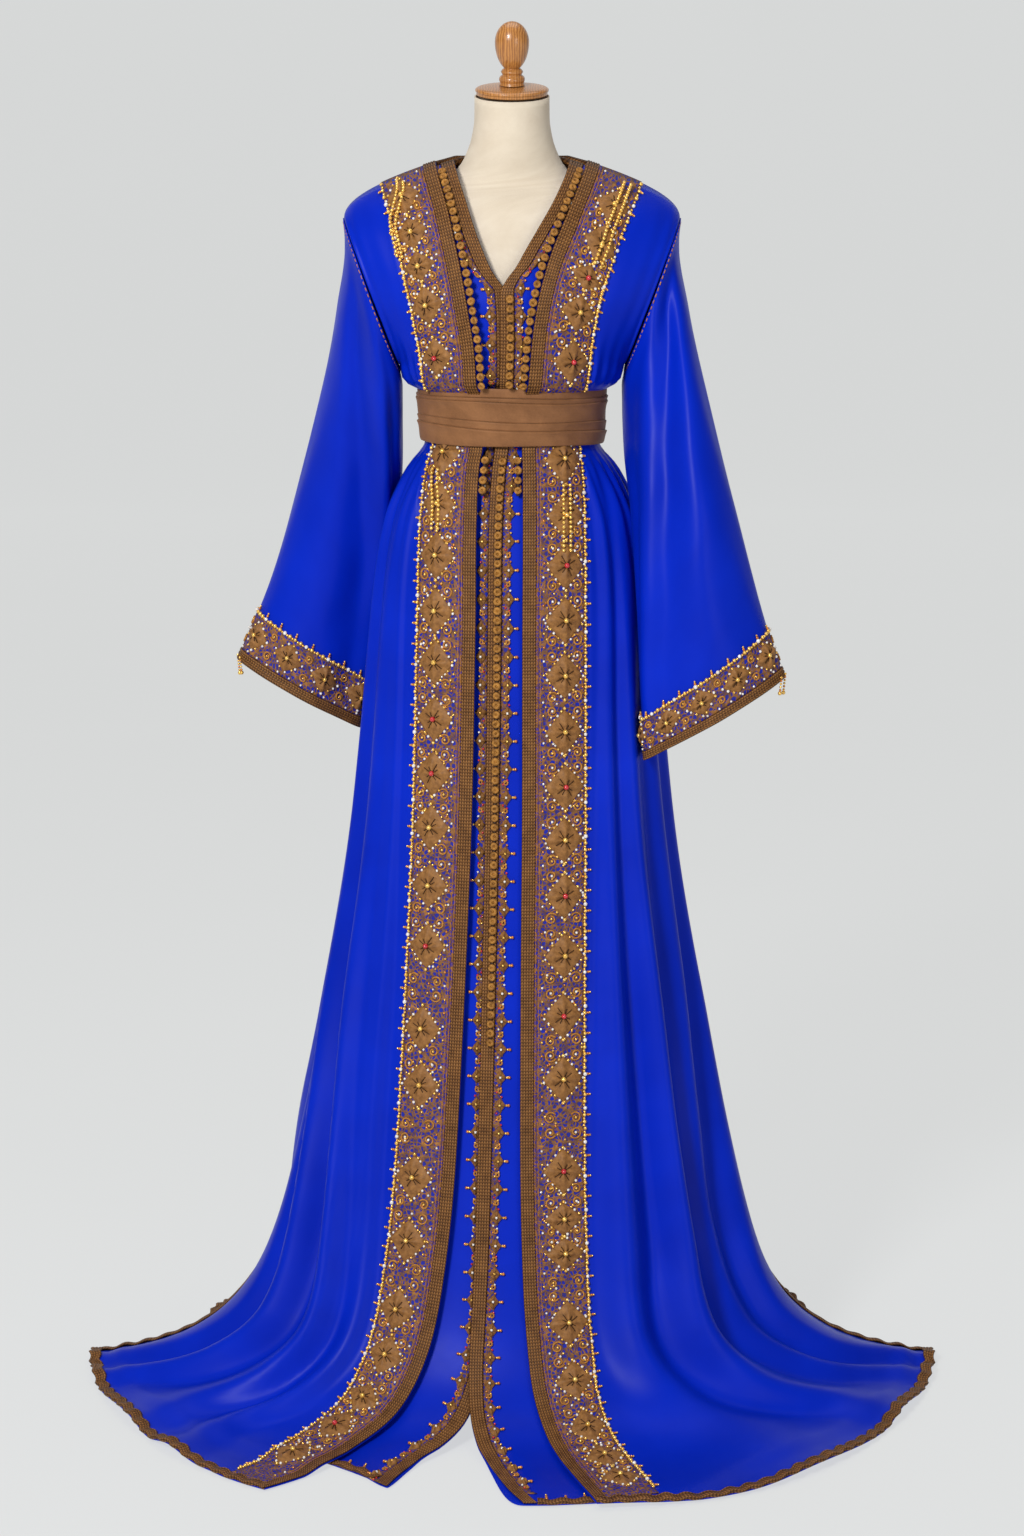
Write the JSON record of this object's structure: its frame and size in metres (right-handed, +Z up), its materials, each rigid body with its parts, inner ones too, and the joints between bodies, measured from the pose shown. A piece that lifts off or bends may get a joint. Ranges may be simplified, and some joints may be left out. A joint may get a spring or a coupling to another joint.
{
  "type": "moroccan kaftan on a dress form",
  "caption": "Two-layer Moroccan kaftan with trumpet sleeves, braided and beaded front bands, pleated sash and floor train, filled out by a limbless dress form",
  "frame": {"origin": "Centre of the underside of the dress form's round stand, on the floor", "axes": "+Z up along the stand's pole; -Y is the garment's front, +X is to the viewer's right of someone facing that front"},
  "size_m": [1.1228, 1.0527, 1.7456],
  "materials": {
    "satin": "royal blue duchess satin with a soft sheen",
    "braid": "bronze-brown ribbed and rippled braid",
    "lace": "brown, violet and orange embroidered lace on blue, with gold, white and red beads",
    "knots": "golden brown knotted silk cord",
    "sash": "brown pleated satin",
    "linen": "cream linen cover",
    "wood": "varnished turned beech",
    "steel": "brushed steel"
  },
  "bodies": {
    "root": {"robe_front_left": "satin", "robe_front_right": "satin", "robe_back": "satin", "sleeve_left": "satin", "sleeve_right": "satin", "under_front_left": "satin", "under_front_right": "satin", "under_back": "satin", "robe_braid_left": "braid", "robe_braid_right": "braid", "robe_braid_back": "braid", "under_braid_left": "braid", "under_braid_right": "braid", "under_braid_back": "braid", "hem_trim_left": "braid", "hem_trim_right": "braid", "hem_trim_back": "braid", "under_hem_trim_left": "braid", "under_hem_trim_right": "braid", "cuff_braid_left": "braid", "cuff_braid_right": "braid", "cuff_lace_left": "lace", "cuff_lace_right": "lace", "embroidery_left": "lace", "embroidery_right": "lace", "under_lace_left": "lace", "under_lace_right": "lace", "knots_chest_left": "knots", "knots_chest_right": "knots", "knots_chest_centre": "knots", "knots_skirt_centre": "knots", "knots_waist_left": "knots", "knots_waist_right": "knots", "belt": "sash", "form_torso": "linen", "form_neck_cap": "wood", "form_finial": "wood", "form_pole": "steel", "form_base": "steel"}
  },
  "joints": []
}
